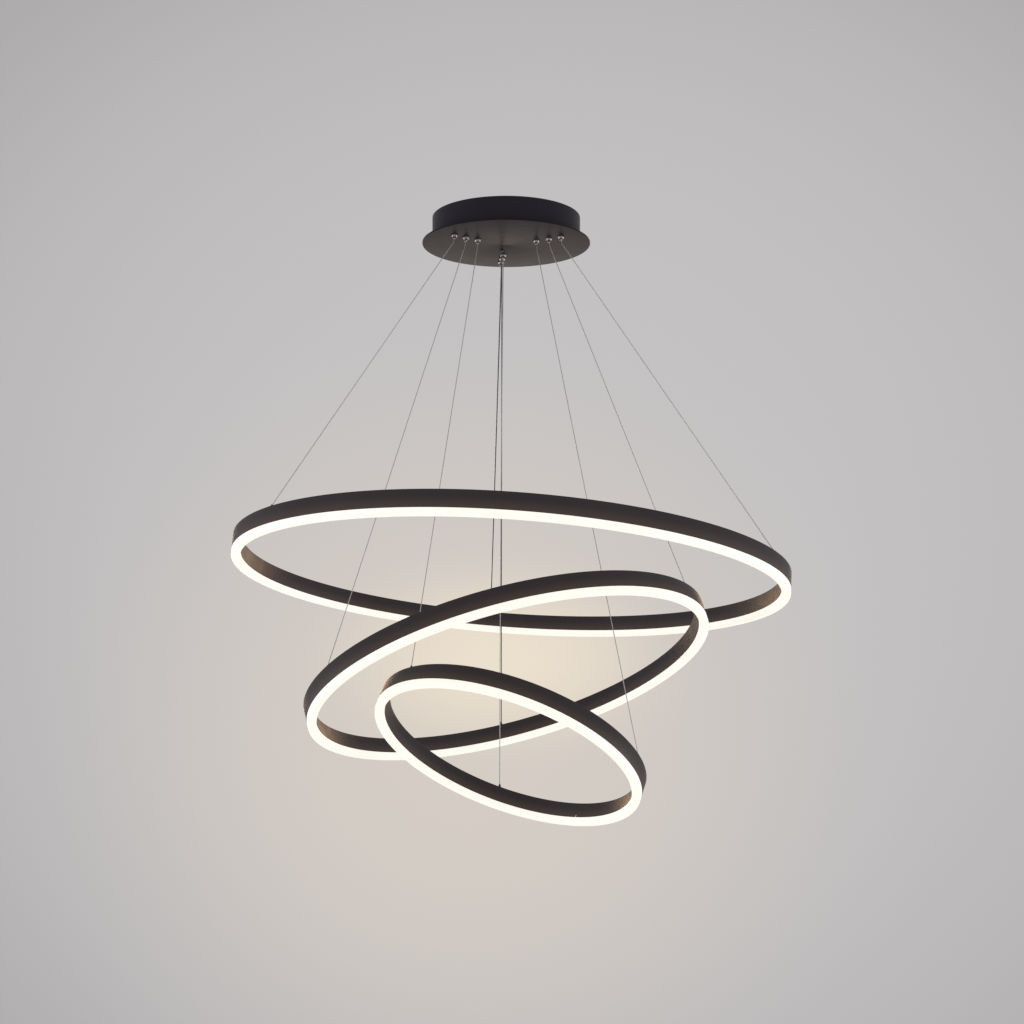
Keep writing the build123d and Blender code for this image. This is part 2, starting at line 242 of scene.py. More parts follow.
def piece(name, grids, finish, body, close_rows=False, close_columns=True, sharp=40.0):
    """One object from one or more grids of points in millimetres, rows by columns.

    Open rows get a flat face at each end. Faces are turned to point outwards, and edges sharper than the
    given angle stay sharp. The UV map holds metres along the columns and along the rows.
    """
    points, faces, metres, offset = [], [], [], 0
    for grid in grids:
        grid = np.asarray(grid, float)
        rows, columns = grid.shape[:2]
        flat = grid.reshape(-1, 3) * MM
        quads = grid_faces(rows, columns, close_rows, close_columns)
        middle = flat - flat.mean(0)
        if enclosed_volume(middle, quads) < 0:
            quads = quads[:, ::-1]
            ends = [np.arange(columns), np.arange(columns)[::-1] + (rows - 1) * columns]
        else:
            ends = [np.arange(columns)[::-1], np.arange(columns) + (rows - 1) * columns]
        faces += (quads + offset).tolist()
        if not close_rows and close_columns:
            faces += [(end + offset).tolist() for end in ends]
        round_steps = np.linalg.norm(np.diff(grid, axis=1, prepend=grid[:, :1]), axis=2)
        path_steps = np.linalg.norm(np.diff(grid, axis=0, prepend=grid[:1]), axis=2)
        metres.append(np.stack([round_steps.cumsum(1), path_steps.cumsum(0)], -1).reshape(-1, 2) * MM)
        points.append(flat)
        offset += len(flat)
    mesh = bpy.data.meshes.new(name)
    mesh.from_pydata(np.concatenate(points).tolist(), [], faces)
    mesh.polygons.foreach_set("use_smooth", np.ones(len(mesh.polygons), bool))
    mesh.set_sharp_from_angle(angle=math.radians(sharp))
    corner = np.zeros(len(mesh.loops), np.int32)
    mesh.loops.foreach_get("vertex_index", corner)
    layer = mesh.uv_layers.new(name="metres")
    layer.data.foreach_set("uv", np.concatenate(metres)[corner].astype(np.float32).ravel())
    mesh.materials.append(finish)
    mesh.validate()
    made = bpy.data.objects.new(name, mesh)
    bpy.context.scene.collection.objects.link(made)
    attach(made, body)
    return made


def rounded_outline(corners, radii, steps=4):
    """A closed outline whose corners are arcs.

    Each arc's centre lies on the corner's bisector at radius / sin(half angle), and the arc runs between
    the two tangent points by spherical interpolation.
    """
    p = np.array(corners, float)
    r = np.broadcast_to(np.array(radii, float), (len(p),))[:, None]
    back, ahead = np.roll(p, 1, 0) - p, np.roll(p, -1, 0) - p
    back /= np.linalg.norm(back, axis=1, keepdims=True)
    ahead /= np.linalg.norm(ahead, axis=1, keepdims=True)
    half = np.arccos(np.clip((back * ahead).sum(1, keepdims=True), -1, 1)) / 2
    bisector = (back + ahead) / np.linalg.norm(back + ahead, axis=1, keepdims=True)
    centre = p + bisector * r / np.sin(half)
    start = p + back * r / np.tan(half) - centre
    end = p + ahead * r / np.tan(half) - centre
    turn = (math.pi - 2 * half)[:, :, None]
    t = np.linspace(0, 1, steps + 1)[None, :, None]
    arc = (np.sin((1 - t) * turn) * start[:, None] + np.sin(t * turn) * end[:, None]) / np.sin(turn)
    return (centre[:, None] + arc).reshape(-1, 2)


def carried(outline, degrees):
    """An outline of radius and height at each angle round Z: radius times cosine and sine, and the height."""
    outline = np.asarray(outline, float)
    angle = np.radians(degrees)[:, None]
    r, z = outline[None, :, 0], outline[None, :, 1]
    return np.stack([r * np.cos(angle), r * np.sin(angle), z + 0 * angle], -1)


def turned(outline, segments=48):
    """An outline carried once round Z in even steps."""
    return carried(outline, np.linspace(0, 360, segments, endpoint=False))


def rounded_block(size, corner, edge, steps=3):
    """An upright block on z = 0: rounded rectangles stacked up, drawn in by a quarter circle at both ends."""
    length, width, height = size
    t = np.linspace(0, math.pi / 2, steps + 1)
    inset = edge * (1 - np.concatenate([np.sin(t), np.cos(t)]))
    level = np.concatenate([edge * (1 - np.cos(t)), height - edge * (1 - np.sin(t))])
    rows = []
    for i, z in zip(inset, level):
        a, b = length / 2 - i, width / 2 - i
        flat = rounded_outline([(-a, -b), (a, -b), (a, b), (-a, b)], max(corner - i, 0.05), 4)
        rows.append(np.column_stack([flat, np.full(len(flat), z)]))
    return np.array(rows)


def hexagonal(rows, across_flats, columns=48):
    """Rows of (share, height): a hexagon's radius, across flats / 2 / cos(angle from the flat), times the
    share, and never more than the row's third value where it has one."""
    angle = np.linspace(0, TURN, columns, endpoint=False)
    from_flat = (angle + math.pi / 6) % (math.pi / 3) - math.pi / 6
    hexagon = across_flats / 2 / np.cos(from_flat)
    grid = []
    for share, height, *limit in rows:
        radius = np.minimum(hexagon, limit[0] if limit else 1e9) * share
        grid.append(np.column_stack([radius * np.cos(angle), radius * np.sin(angle), 0 * angle + height]))
    return np.array(grid)


# Finishes -----------------------------------------------------------------------------------------

NOISE_LOW, NOISE_HIGH = 0.3, 0.7  # nearly all of a noise texture's values lie between these


def shader_of(material):
    """A material's surface shader."""
    return material.node_tree.nodes["Principled BSDF"]


def finish_named(name):
    """A new material, its nodes, its links and its shader."""
    material = bpy.data.materials.new(name)
    material.use_nodes = True
    nodes, links = material.node_tree.nodes, material.node_tree.links
    return material, nodes, links, shader_of(material)


def noise_of(nodes, links, scale, detail=4.0):
    """Noise on Object coordinates, so many times to a metre."""
    noise = nodes.new("ShaderNodeTexNoise")
    noise.inputs["Scale"].default_value = scale
    noise.inputs["Detail"].default_value = detail
    links.new(nodes.new("ShaderNodeTexCoord").outputs["Object"], noise.inputs["Vector"])
    return noise.outputs["Fac"]


def between(nodes, links, value, low, high):
    """Noise spread between two numbers."""
    spread = nodes.new("ShaderNodeMapRange")
    spread.inputs["From Min"].default_value = NOISE_LOW
    spread.inputs["From Max"].default_value = NOISE_HIGH
    spread.inputs["To Min"].default_value = low
    spread.inputs["To Max"].default_value = high
    links.new(value, spread.inputs["Value"])
    return spread.outputs["Result"]


def shades(nodes, links, value, dark, light):
    """Noise turned into a colour between two shades."""
    ramp = nodes.new("ShaderNodeValToRGB")
    low, high = ramp.color_ramp.elements
    low.position, high.position = NOISE_LOW, NOISE_HIGH
    low.color, high.color = (*dark, 1), (*light, 1)
    links.new(value, ramp.inputs["Fac"])
    return ramp.outputs["Color"]


def relief(nodes, links, shader, value, height_mm):
    """Bump of that height from a value."""
    bump = nodes.new("ShaderNodeBump")
    bump.inputs["Distance"].default_value = height_mm * MM
    bump.inputs["Strength"].default_value = 1.0
    links.new(value, bump.inputs["Height"])
    links.new(bump.outputs["Normal"], shader.inputs["Normal"])


def powder_coat(name, dark, light, rough, sheen, peel_mm=0.001):
    """Baked paint: cloudy shade and gloss, and the fine orange peel of sprayed powder."""
    material, nodes, links, shader = finish_named(name)
    cloud = noise_of(nodes, links, 9.0)
    links.new(shades(nodes, links, cloud, dark, light), shader.inputs["Base Color"])
    patch = noise_of(nodes, links, 55.0)
    links.new(between(nodes, links, patch, rough[0], rough[1]), shader.inputs["Roughness"])
    relief(nodes, links, shader, noise_of(nodes, links, 520.0, 2.0), peel_mm)
    shader.inputs["Specular IOR Level"].default_value = sheen
    return material


def painted_strip_glow(material, height, reach_mm, colour, strength):
    """Painted light: a warm emission on both walls of a channel near its lower edge, standing in for the
    strip's light on them.
    The UV map's distance round the section, folded at the middle of its outer faces, gives how far a point is
    above the lower edge."""
    nodes, links = material.node_tree.nodes, material.node_tree.links
    lower_edge = (height + RING_WIDTH / 2) * MM
    coordinates = nodes.new("ShaderNodeTexCoord")
    split = nodes.new("ShaderNodeSeparateXYZ")
    links.new(coordinates.outputs["UV"], split.inputs["Vector"])
    away = nodes.new("ShaderNodeMath")
    away.operation = "SUBTRACT"
    away.inputs[1].default_value = lower_edge
    links.new(split.outputs["X"], away.inputs[0])
    folded = nodes.new("ShaderNodeMath")
    folded.operation = "ABSOLUTE"
    links.new(away.outputs["Value"], folded.inputs[0])
    fade = nodes.new("ShaderNodeMapRange")
    fade.interpolation_type = "SMOOTHSTEP"
    fade.inputs["From Min"].default_value = lower_edge - reach_mm * MM
    fade.inputs["From Max"].default_value = lower_edge
    fade.inputs["To Max"].default_value = strength
    links.new(folded.outputs["Value"], fade.inputs["Value"])
    shader = shader_of(material)
    shader.inputs["Emission Color"].default_value = (*colour, 1)
    links.new(fade.outputs["Result"], shader.inputs["Emission Strength"])


def plated(name, dark, light, rough, scale=260.0, depth_mm=0.004):
    """Plated or bare metal: gloss that varies in fine patches, with a faint grain."""
    material, nodes, links, shader = finish_named(name)
    shader.inputs["Metallic"].default_value = 1.0
    grain = noise_of(nodes, links, scale, 5.0)
    links.new(shades(nodes, links, grain, dark, light), shader.inputs["Base Color"])
    links.new(between(nodes, links, grain, rough[0], rough[1]), shader.inputs["Roughness"])
    relief(nodes, links, shader, grain, depth_mm)
    return material


def moulded(name, dark, light, rough, scale=600.0, depth_mm=0.01):
    """Moulded plastic or rubber: near-even colour, soft gloss and a fine spark-eroded grain."""
    material, nodes, links, shader = finish_named(name)
    cloud = noise_of(nodes, links, 40.0)
    links.new(shades(nodes, links, cloud, dark, light), shader.inputs["Base Color"])
    links.new(between(nodes, links, cloud, rough[0], rough[1]), shader.inputs["Roughness"])
    relief(nodes, links, shader, noise_of(nodes, links, scale, 2.0), depth_mm)
    return material


def lit_opal(name):
    """Opal diffuser with its boards lit: warm white with a faint unevenness along the strip."""
    material, nodes, links, shader = finish_named(name)
    shader.inputs["Base Color"].default_value = (0.50, 0.49, 0.46, 1)
    shader.inputs["Roughness"].default_value = 0.5
    shader.inputs["Specular IOR Level"].default_value = 0.2
    patch = noise_of(nodes, links, 22.0, 2.0)
    glow = shades(nodes, links, patch, (1.0, 0.94, 0.83), (1.0, 0.955, 0.86))
    links.new(glow, shader.inputs["Emission Color"])
    shader.inputs["Emission Strength"].default_value = 0.64
    return material


RING_FINISH = ((0.027, 0.020, 0.022), (0.031, 0.024, 0.026), (0.46, 0.52), 0.28)
DRUM_FINISH = ((0.0135, 0.0115, 0.0180), (0.0155, 0.0135, 0.0200), (0.40, 0.46), 0.14)
PLATE_FINISH = ((0.0120, 0.0085, 0.0110), (0.0140, 0.0105, 0.0130), (0.28, 0.32), 0.06)
ring_paint = powder_coat("ring_paint", *RING_FINISH)
channel_paint_and_glow = powder_coat("channel_paint_and_glow", *RING_FINISH)
# Painted light: the channel's walls glow warm near their lower edges, as if lit by the strip.
painted_strip_glow(channel_paint_and_glow, WALL_HEIGHT, 17.0, (1.0, 0.62, 0.36), 0.026)
drum_paint = powder_coat("drum_paint", *DRUM_FINISH)
plate_paint = powder_coat("plate_paint", *PLATE_FINISH, peel_mm=0.0003)
dark_nickel = plated("dark_nickel", (0.30, 0.29, 0.30), (0.36, 0.35, 0.36), (0.08, 0.14), depth_mm=0.001)
strand_steel = plated("strand_steel", (0.36, 0.36, 0.365), (0.54, 0.54, 0.545), (0.32, 0.45), scale=900.0)
shader_of(strand_steel).inputs["Metallic"].default_value = 0.6
zinc = plated("zinc", (0.50, 0.51, 0.53), (0.60, 0.61, 0.63), (0.28, 0.38), scale=140.0, depth_mm=0.002)
brass = plated("brass", (0.62, 0.46, 0.20), (0.78, 0.60, 0.30), (0.18, 0.32))
black_plastic = moulded("black_plastic", (0.014, 0.014, 0.014), (0.022, 0.022, 0.022), (0.45, 0.6))
black_sleeve = moulded("black_sleeve", (0.008, 0.008, 0.009), (0.012, 0.012, 0.012), (0.5, 0.6))
shader_of(black_sleeve).inputs["Specular IOR Level"].default_value = 0.2
clear_sleeve = moulded("clear_sleeve", (0.30, 0.30, 0.31), (0.42, 0.42, 0.43), (0.15, 0.25))
shader_of(clear_sleeve).inputs["Alpha"].default_value = 0.15
driver_plastic = moulded("driver_plastic", (0.74, 0.74, 0.72), (0.82, 0.82, 0.80), (0.4, 0.55))
terminal_plastic = moulded("terminal_plastic", (0.70, 0.69, 0.62), (0.80, 0.79, 0.72), (0.35, 0.5))
foam = moulded("foam", (0.05, 0.05, 0.05), (0.11, 0.11, 0.11), (0.85, 0.95), scale=900.0, depth_mm=0.3)
board_mask = moulded("board_mask", (0.80, 0.80, 0.76), (0.88, 0.88, 0.85), (0.35, 0.5))
chip_face = moulded("chip_face", (0.80, 0.62, 0.16), (0.88, 0.70, 0.22), (0.3, 0.4))
opal = lit_opal("opal")


# Camera -------------------------------------------------------------------------------------------

camera = bpy.data.objects.new("camera", bpy.data.cameras.new("camera"))
bpy.context.scene.collection.objects.link(camera)
camera.location = (0.001, -2.418, -0.742)
camera.rotation_euler = (math.radians(97.09), 0, math.radians(-0.18))
camera.data.sensor_width = 36.0
camera.data.lens = 58.68
camera.data.clip_start = 0.05
camera.data.clip_end = 100.0
bpy.context.scene.camera = camera


# Cables and leads ---------------------------------------------------------------------------------


def smooth_line(name, route):
    """The points of a smooth curve that has a route as its control points."""
    curve = bpy.data.curves.new(name, "CURVE")
    curve.dimensions = "3D"
    curve.resolution_u = 24
    spline = curve.splines.new("NURBS")
    spline.points.add(len(route) - 1)
    spline.points.foreach_set("co", np.column_stack([np.array(route) * MM, np.ones(len(route))]).ravel())
    spline.order_u = 3
    spline.use_endpoint_u = True
    holder = bpy.data.objects.new(name, curve)
    bpy.context.scene.collection.objects.link(holder)
    line = bpy.data.meshes.new_from_object(holder)
    points = np.zeros(len(line.vertices) * 3)
    line.vertices.foreach_get("co", points)
    bpy.data.objects.remove(holder)
    bpy.data.meshes.remove(line)
    return points.reshape(-1, 3)


def evenly(line, step):
    """Points at even steps along a line, by interpolation over its length."""
    length = np.concatenate([[0], np.linalg.norm(np.diff(line, axis=0), axis=1).cumsum()])
    at = np.linspace(0, length[-1], max(int(length[-1] / step), 2) + 1)
    return np.column_stack([np.interp(at, length, line[:, k]) for k in range(3)]), at


def tube_along(line, step, radius_at, columns):
    """A tube round a line in metres: each section lies square to the line, and its radius comes from the
    angle round it and the distance along it."""
    points, at = evenly(line, step * MM)
    ahead = np.gradient(points, axis=0)
    ahead /= np.linalg.norm(ahead, axis=1, keepdims=True)
    side = np.cross(ahead, [0.31, 0.95, 0.0])
    side /= np.linalg.norm(side, axis=1, keepdims=True)
    other = np.cross(ahead, side)
    angle = np.linspace(0, TURN, columns, endpoint=False)
    radius = radius_at(angle[None, :], at[:, None] / MM) * MM
    wave = radius[:, :, None] * (
        np.cos(angle)[None, :, None] * side[:, None] + np.sin(angle)[None, :, None] * other[:, None]
    )
    return (points[:, None] + wave) / MM


def stranded(angle, along):
    """Radius of six strands round a core: full on a strand, less between two, once round in each lay."""
    phase = 3 * (angle - TURN * along / CABLE_LAY)
    return CABLE_DIAMETER / 2 * (0.80 + 0.20 * np.abs(np.cos(phase)))


def sleeved(angle, along):
    """Radius of a lead's sleeve, which swells and thins by a hundredth along its length."""
    return LEAD_DIAMETER / 2 * (0.985 + 0.015 * np.sin(along / 23.0)) + 0 * angle


def hang(made, node):
    """Hides the CAD node that a cable or lead replaces, and gives the new piece a mesh of its own."""
    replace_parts(made, node)
    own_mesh(made)


def set_aside(route, line):
    """A route with one more point in its last run, moved to one side."""
    if line in ASIDE:
        share, across = ASIDE[line]
        start, end = route[-2:]
        route.insert(-1, start + (end - start) * share + [across, 0, 0])
    return route


for name in RINGS:
    for spoke in SPOKES:
        foot, pull = cable_foot(name, spoke)
        place = gripper_place(name, spoke)
        corner = place + [0, 0, CABLE_CORNER]
        route = [place + [0, 0, CABLE_TAIL_TOP], corner, corner - pull * CABLE_BEND]
        route.append(foot + pull * ANCHOR_LENGTH)
        route = set_aside(route, "cable " + name + " " + spoke)
        label = name + "_" + spoke
        line = smooth_line("route_" + label, route)
        tube = tube_along(line, CABLE_STEP, stranded, 18)
        made = piece("steel_cable_" + label, [tube], strand_steel, "canopy", sharp=80.0)
        hang(made, "suspension_cable_" + label)
    foot, pull = lead_foot(name)
    place = lead_place(name)
    corner = place + [0, 0, LEAD_CORNER]
    route = [place + [0, 0, BUSH_MOUTH], corner, corner - pull * LEAD_BEND, foot + pull * INLET_LENGTH]
    route = set_aside(route, "lead " + name)
    line = smooth_line("lead_route_" + name, route)
    sleeve = clear_sleeve if name == "small" else black_sleeve
    tube = tube_along(line, LEAD_STEP, sleeved, 14)
    made = piece("lead_" + name, [tube], sleeve, "canopy", sharp=80.0)
    hang(made, "power_lead_" + name)


# Rings --------------------------------------------------------------------------------------------


def round_from_seam(outer, gap, nick):
    """Angles from one side of the seam round to the other, with one more at the side of each nick."""
    gap, nick = math.degrees(gap / outer), math.degrees(nick / outer)
    even = np.linspace(nick * 1.02, 360 - gap - nick * 1.02, SECTIONS_ROUND)
    return SEAM_ANGLE + gap / 2 + np.concatenate([[0, nick], even, [360 - gap - nick, 360 - gap]])


def channel(ring, nick_height):
    """The bent channel: its section with softened edges, carried from one side of the seam to the other.

    The walls' lower corners are lifted by the height of the nick in the two rows at each side of the seam.
    """
    outer = ring["radius"]
    inner = outer - RING_WIDTH
    under = WALL_HEIGHT - CROWN
    corners = [
        (inner, 0),
        (inner, WALL_HEIGHT),
        (outer, WALL_HEIGHT),
        (outer, 0),
        (outer - SIDE_WALL, 0),
        (outer - SIDE_WALL, under),
        (inner + SIDE_WALL, under),
        (inner + SIDE_WALL, 0),
    ]
    radii = [0.15, 0.6, 0.6, 0.15, 0.15, 0.4, 0.4, 0.15]
    section = rounded_outline(corners, radii, 4)
    grid = carried(section, round_from_seam(outer, SEAM_GAP, NICK_WIDTH))
    low = np.flatnonzero(section[:, 1] < 1.0)
    grid[np.ix_([0, 1, -2, -1], low, [2])] += nick_height
    return on_ring(ring, grid)


def opal_strip(ring):
    """The diffuser: a bar with well-rounded lower corners under the channel, with a tongue that clips in
    between the walls, butted at the seam."""
    outer = ring["radius"]
    inner = outer - RING_WIDTH
    side = SIDE_WALL + 0.1
    corners = [(inner, 0), (inner + side, 0), (inner + side, TONGUE_HEIGHT), (outer - side, TONGUE_HEIGHT)]
    corners += [(outer - side, 0), (outer, 0), (outer, -DIFFUSER_DROP), (inner, -DIFFUSER_DROP)]
    section = rounded_outline(corners, [0.1, 0.05, 0.3, 0.3, 0.05, 0.1, 3.0, 3.0], 6)
    return on_ring(ring, carried(section, round_from_seam(outer, 0.15, NICK_WIDTH)))


def ferrule():
    """A cable end fitting about Z: a collar, a waist and a chamfered nose with the cable's hole."""
    outline = [(0.7, 6.0), (1.1, 6.0), (1.4, 5.6), (1.4, 3.4), (1.55, 3.2), (1.95, 3.0), (2.0, 2.8)]
    outline += [(2.0, -1.6), (0.7, -1.6)]
    return turned(outline, 40)


def grommet():
    """A lead's inlet about Z: a flared foot that thins towards the lead."""
    outline = [(0.72, 4.0), (1.0, 4.0), (1.12, 3.8), (1.2, 2.4), (1.4, 1.2), (1.45, -0.8), (0.72, -0.8)]
    return turned(outline, 32)


for name, ring in RINGS.items():
    body = name + "_ring"
    bent = channel(ring, NICK_HEIGHT if name == "small" else 0.0)
    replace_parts(piece("channel_" + name, [bent], channel_paint_and_glow, body), "ring_frame_" + name)
    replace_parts(piece("opal_strip_" + name, [opal_strip(ring)], opal, body), "diffuser_" + name)
    posts = [along_axis(ferrule(), *cable_foot(name, spoke)) for spoke in SPOKES]
    made = piece("cable_ends_" + name, posts, ring_paint, body, close_rows=True)
    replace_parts(made, "cable_anchors_" + name)
    foot = along_axis(grommet(), *lead_foot(name))
    made = piece("lead_grommet_" + name, [foot], black_plastic, body, close_rows=True)
    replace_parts(made, "lead_inlet_" + name)


# Grippers -----------------------------------------------------------------------------------------


def barrel():
    """A gripper barrel about Z: a domed cap below the plate, a quarter of an ellipse, and its bore."""
    lip, shoulder = 2.6, BARREL_MOUTH + 3.0
    t = np.radians([90, 80, 68, 56, 44, 33, 22, 11, 0])
    dome = np.column_stack([lip + (BARREL_RADIUS - lip) * np.cos(t), shoulder - 3.0 * np.sin(t)])
    rest = [(BARREL_RADIUS, PLATE_TOP + 0.5), (2.2, PLATE_TOP + 0.5), (2.2, BARREL_MOUTH + 0.3)]
    return turned(dome.tolist() + rest, 64)


def gripper_body():
    """The hexagonal body above the plate: chamfered at both ends, with a turned neck."""
    base = PLATE_TOP
    rows = [(1.0, base, 6.3), (1.0, base + 0.5, 6.9), (1.0, base + 5.5, 6.9), (1.0, base + 6.0, 6.3)]
    rows += [(0.78, base + 6.0, 6.0), (0.78, base + 10.4, 5.0), (0.7, base + 11.0, 5.0)]
    return hexagonal(rows, BODY_ACROSS_FLATS)


def plunger():
    """A release plunger about Z: a stepped nose with a rounded lip round the cable's hole."""
    outline = [(0.8, PLUNGER_MOUTH + 0.4), (1.0, PLUNGER_MOUTH + 0.05), (1.3, PLUNGER_MOUTH)]
    outline += [(1.75, PLUNGER_MOUTH + 0.15), (2.05, PLUNGER_MOUTH + 0.5), (2.1, PLUNGER_MOUTH + 0.9)]
    outline += [(2.1, PLUNGER_TOP), (0.8, PLUNGER_TOP)]
    return turned(outline, 40)


barrels, bodies = [], []
for name in RINGS:
    for spoke in SPOKES:
        place = gripper_place(name, spoke)
        barrels.append(barrel() + place)
        bodies.append(gripper_body() + place)
        label = name + "_" + spoke
        body = label + "_plunger"
        made = piece("plunger_" + label, [plunger() + place], dark_nickel, body, close_rows=True)
        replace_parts(made, "gripper_plunger_" + label)
made = piece("barrel_caps", barrels, dark_nickel, "canopy", close_rows=True)
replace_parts(made, "gripper_barrels")
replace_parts(piece("barrel_bodies", bodies, dark_nickel, "canopy"), "gripper_barrels")


# Canopy -------------------------------------------------------------------------------------------


def drum():
    """The drum's wall, its edges just broken."""
    inner = DRUM_RADIUS - DRUM_WALL
    corners = [(inner, PLATE_TOP), (inner, 0), (DRUM_RADIUS, 0), (DRUM_RADIUS, PLATE_TOP)]
    return turned(rounded_outline(corners, 0.3, 4), 288)


def plate():
    """The plate as a turned disc with a rounded rim and a pin hole at its middle."""
    corners = [(0.4, PLATE_TOP), (0.4, PLATE_UNDERSIDE)]
    corners += [(PLATE_RADIUS, PLATE_UNDERSIDE), (PLATE_RADIUS, PLATE_TOP)]
    return turned(rounded_outline(corners, [0.1, 0.1, 0.7, 0.5], 5), 320)


made = piece("drum", [drum()], drum_paint, "canopy", close_rows=True)
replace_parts(made, "canopy_housing")
lug = rounded_block(LUG_SIZE, 3.0, 0.3)
lugs = [about_z(lug + [LUG_RADIUS, 0, PLATE_TOP], angle) for angle in LUG_ANGLES]
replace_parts(piece("drum_lugs", lugs, drum_paint, "canopy"), "canopy_housing")
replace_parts(piece("plate", [plate()], plate_paint, "canopy", close_rows=True), "canopy_plate")

nut_rows = [(1.0, 0.0, 4.1), (1.0, 0.3, 4.5), (1.0, 2.9, 4.5), (1.0, 3.2, 4.0), (1.0, 3.3, 3.5)]
nut_rows += [(0.95, 4.6, 3.4), (0.8, 5.4, 3.1), (0.45, 5.9, 2.8), (0.1, 6.0, 2.6)]
cap_nut = hexagonal(nut_rows, NUT_ACROSS_FLATS) + [LUG_RADIUS, 0, PLATE_TOP + LUG_SIZE[2]]
nuts = [about_z(cap_nut, angle) for angle in LUG_ANGLES]
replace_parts(piece("cap_nuts", nuts, zinc, "canopy"), "plate_nuts")


def socket_screw(outline):
    """A screw about Z with a hexagon socket: the socket's rows, then an outline carried round."""
    inner = hexagonal([(1.0, outline[0][1] - 1.1, 1.15), (1.0, outline[0][1] - 0.1, 1.2)], 2.3)
    angle = np.linspace(0, TURN, 48, endpoint=False)
    rows = [np.column_stack([r * np.cos(angle), r * np.sin(angle), 0 * angle + z]) for r, z in outline]
    return np.concatenate([inner, np.array(rows)])


countersunk = [(1.3, 0.0), (3.35, 0.0), (3.45, -0.1), (2.0, -1.45), (2.0, -9.0), (0.3, -9.0)]
screw = socket_screw(countersunk)
flush = DRUM_RADIUS - 0.1
screws = [along_axis(screw, (side * flush, 0, -SIDE_SCREW_DROP), (side, 0, 0)) for side in (-1, 1)]
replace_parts(piece("side_screws", screws, drum_paint, "canopy"), "housing_screws")
domed = [(1.3, 1.75), (2.4, 1.6), (3.0, 1.2), (3.4, 0.6), (3.5, 0.0), (2.0, 0.0), (2.0, -1.9), (0.3, -1.9)]
earth = along_axis(socket_screw(domed), (EARTH_SCREW_X, 0, -BRACKET_THICKNESS), (0, 0, -1))
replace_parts(piece("earth_screw_head", [earth], brass, "canopy"), "earth_screw")


def bush():
    """The leads' bush: a stack of oblongs, drawn in at the mouth, with the shank's through the plate."""
    lip = [(1.3, 0.0), (0.5, 0.2), (0.1, 0.9), (0.0, 1.6)]
    rows = [oblong(BUSH_FLANGE, inset, BUSH_MOUTH + rise) for inset, rise in lip]
    rows.append(oblong(BUSH_FLANGE, 0.0, PLATE_UNDERSIDE))
    rows += [oblong(BUSH_SHANK, 0.0, z) for z in (PLATE_UNDERSIDE, PLATE_TOP + 1.0)]
    return np.array(rows) + [*BUSH_CENTRE, 0]


def oblong(size, inset, z):
    """One row of a bush: an oblong with round ends, that much smaller all round."""
    a, b = size[0] / 2 - inset, size[1] / 2 - inset
    flat = rounded_outline([(-a, -b), (a, -b), (a, b), (-a, b)], a * 0.98, 10)
    return np.column_stack([flat, np.full(len(flat), z)])


def bush_eyes():
    """A raised eye round each lead at the mouth of the bush."""
    eye = turned([(0.72, -0.35), (1.0, -0.3), (1.08, 0.0), (1.08, 0.3), (0.72, 0.3)], 32)
    return [eye + lead_place(name) + [0, 0, BUSH_MOUTH] for name in RINGS]


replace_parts(piece("bush", [bush()], black_plastic, "canopy"), "lead_bush")
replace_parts(piece("bush_eyes", bush_eyes(), black_plastic, "canopy", close_rows=True), "lead_bush")


# Inside the canopy --------------------------------------------------------------------------------

for name, ring in RINGS.items():
    seat = PLATE_TOP + PAD_SIZE[2]
    middle = np.array([DRIVER_INNER_FACE + DRIVER_SIZE[0] / 2, 0, seat])
    case = rounded_block(DRIVER_SIZE, 3.0, 1.2)
    parts = [about_z(case + middle, ring["driver"])]
    rib = rounded_block((1.2, 12.0, 0.7), 0.5, 0.3)
    ribs = [rib + middle + [x, y, DRIVER_SIZE[2] - 0.4] for y in (-34, 34) for x in np.arange(-9, 10, 3)]
    parts += [about_z(one, ring["driver"]) for one in ribs]
    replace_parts(piece("driver_" + name, parts, driver_plastic, "canopy"), "led_driver_" + name)

pad = rounded_block(PAD_SIZE, 1.0, 0.2) + [DRIVER_INNER_FACE + DRIVER_SIZE[0] / 2, 0, PLATE_TOP]
pads = [about_z(pad, ring["driver"]) for ring in RINGS.values()]
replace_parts(piece("foam_pads", pads, foam, "canopy"), "driver_pads")

CAD_FINISHES = {"ceiling_bracket": zinc, "terminal_block": terminal_plastic}
for name in RINGS:
    CAD_FINISHES["led_boards_" + name] = board_mask
    CAD_FINISHES["splice_bar_" + name] = zinc
for node, finish in CAD_FINISHES.items():
    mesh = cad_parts[node].data
    mesh.materials.clear()
    mesh.materials.append(finish)


def chips(ring):
    """The chips under a ring's straight boards: small blocks with bevelled lower edges at an even pitch along
    each board, and the boards evenly round the ring from the seam."""
    middle = ring["radius"] - RING_WIDTH / 2
    length = math.sqrt(8 * middle * BOARD_BOW)
    count = int(TURN * middle / (length + BOARD_GAP))
    across, along, high = CHIP_SIZE
    corners = np.array([(-1, -1), (1, -1), (1, 1), (-1, 1)]) * (across / 2, along / 2)
    levels = [(1.0, 0.0), (1.0, -high * 0.7), (0.85, -high)]
    block = np.array([np.column_stack([corners * scale, np.full(4, z)]) for scale, z in levels])
    under = [middle - BOARD_BOW / 2, 0, WALL_HEIGHT - CROWN - BOARD_THICKNESS]
    number = int((length - 4.0) / CHIP_PITCH)
    spots = (np.arange(number) - (number - 1) / 2) * CHIP_PITCH
    row = [block + under + [0, y, 0] for y in spots]
    angles = SEAM_ANGLE + (np.arange(count) + 0.5) * 360 / count
    return [on_ring(ring, about_z(one, angle)) for angle in angles for one in row]


for name, ring in RINGS.items():
    piece("chips_" + name, chips(ring), chip_face, name + "_ring", sharp=30.0)


# Room ---------------------------------------------------------------------------------------------

